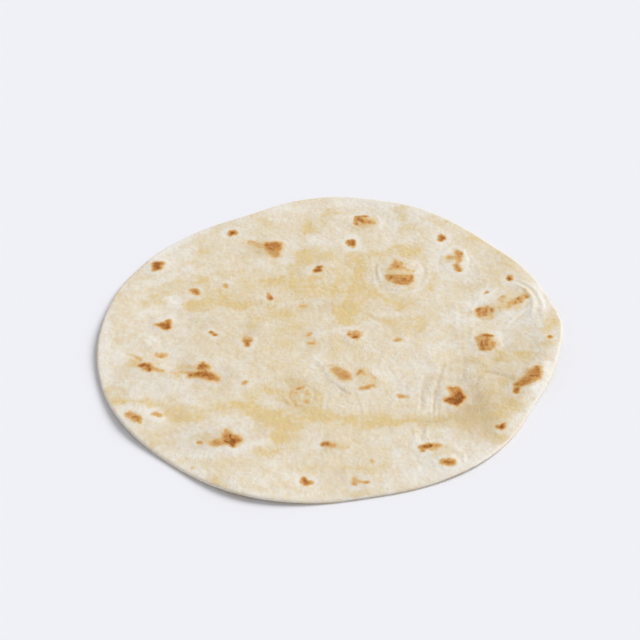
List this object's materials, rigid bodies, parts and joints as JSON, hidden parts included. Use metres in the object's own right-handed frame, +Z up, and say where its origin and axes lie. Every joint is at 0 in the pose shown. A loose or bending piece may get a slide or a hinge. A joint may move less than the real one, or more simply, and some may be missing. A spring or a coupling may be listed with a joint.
{
  "type": "flour tortilla",
  "caption": "Soft round flatbread baked on a griddle: a thin, slightly curled disc with low blisters and an uneven rim, for wrapping or folding round a filling.",
  "frame": {"origin": "on the table, under the middle of the tortilla's outline", "axes": "+Z up, through the thin sheet; +X to the right as the tortilla is seen in the picture, +Y away from the viewer"},
  "size_m": [0.2018, 0.203, 0.0052],
  "materials": {
    "baked_dough": "matt soft wheat dough, cream with golden patches and brown toasted spots"
  },
  "bodies": {
    "root": {"tortilla": "baked_dough"}
  },
  "joints": []
}
